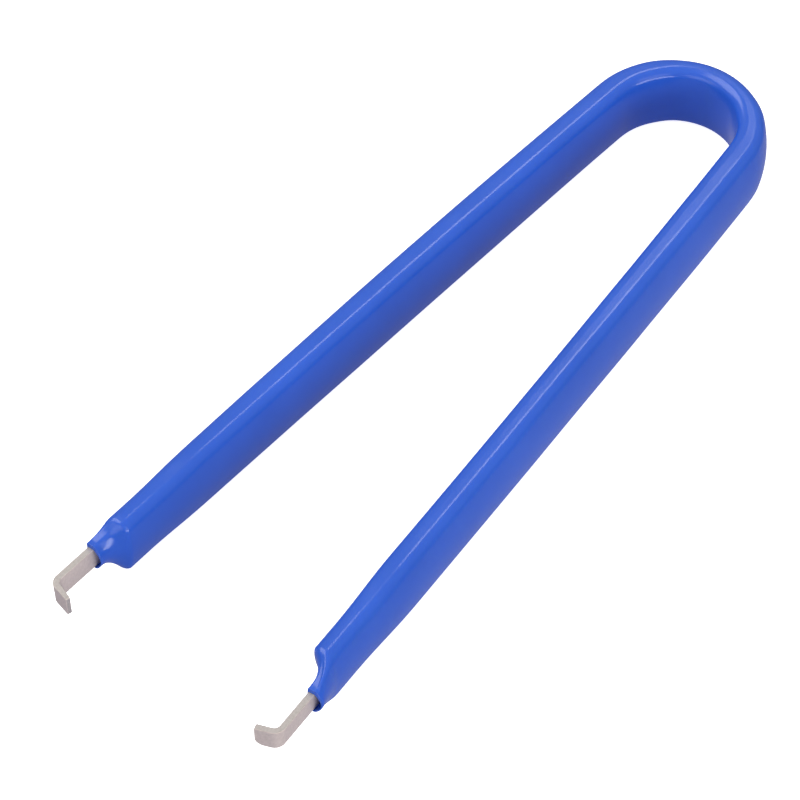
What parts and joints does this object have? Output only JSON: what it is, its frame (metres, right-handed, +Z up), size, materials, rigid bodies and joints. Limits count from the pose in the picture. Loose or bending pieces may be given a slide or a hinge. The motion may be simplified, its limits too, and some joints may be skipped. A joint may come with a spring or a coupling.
{
  "type": "chip extractor",
  "caption": "U-shaped spring tool: a bent steel strip with a small inward claw at each end, in a blue dipped soft coating, for lifting chips out of their sockets.",
  "frame": {"origin": "bottom centre of the bounding box, on the surface that the tool lies on", "axes": "+Y from the claws towards the bow, +Z up across the strip's width, +X from the left arm to the right arm"},
  "size_m": [0.037, 0.1224, 0.0093],
  "materials": {
    "spring_steel": "matt, fine grain",
    "coating": "glossy dipped soft vinyl"
  },
  "bodies": {
    "bow": {"spring_bow": "spring_steel", "bow_coating": "coating"},
    "left_arm": {"left_arm_strip": "spring_steel", "left_arm_coating": "coating"},
    "right_arm": {"right_arm_strip": "spring_steel", "right_arm_coating": "coating"}
  },
  "joints": [
    {"name": "left_arm_flex", "type": "hinge", "parent": "bow", "child": "left_arm", "pos_m": [-0.00881, 0.04114, 0.00465], "axis": [0, 0, 1], "range_deg": [0, 8], "stiffness_Nm_per_rad": 1.2},
    {"name": "right_arm_flex", "type": "hinge", "parent": "bow", "child": "right_arm", "pos_m": [0.00819, 0.04119, 0.00465], "axis": [0, 0, -1], "range_deg": [0, 8], "stiffness_Nm_per_rad": 1.2}
  ],
  "couplings": [
    {"joint": "right_arm_flex", "follows": "left_arm_flex", "ratio": 1}
  ]
}
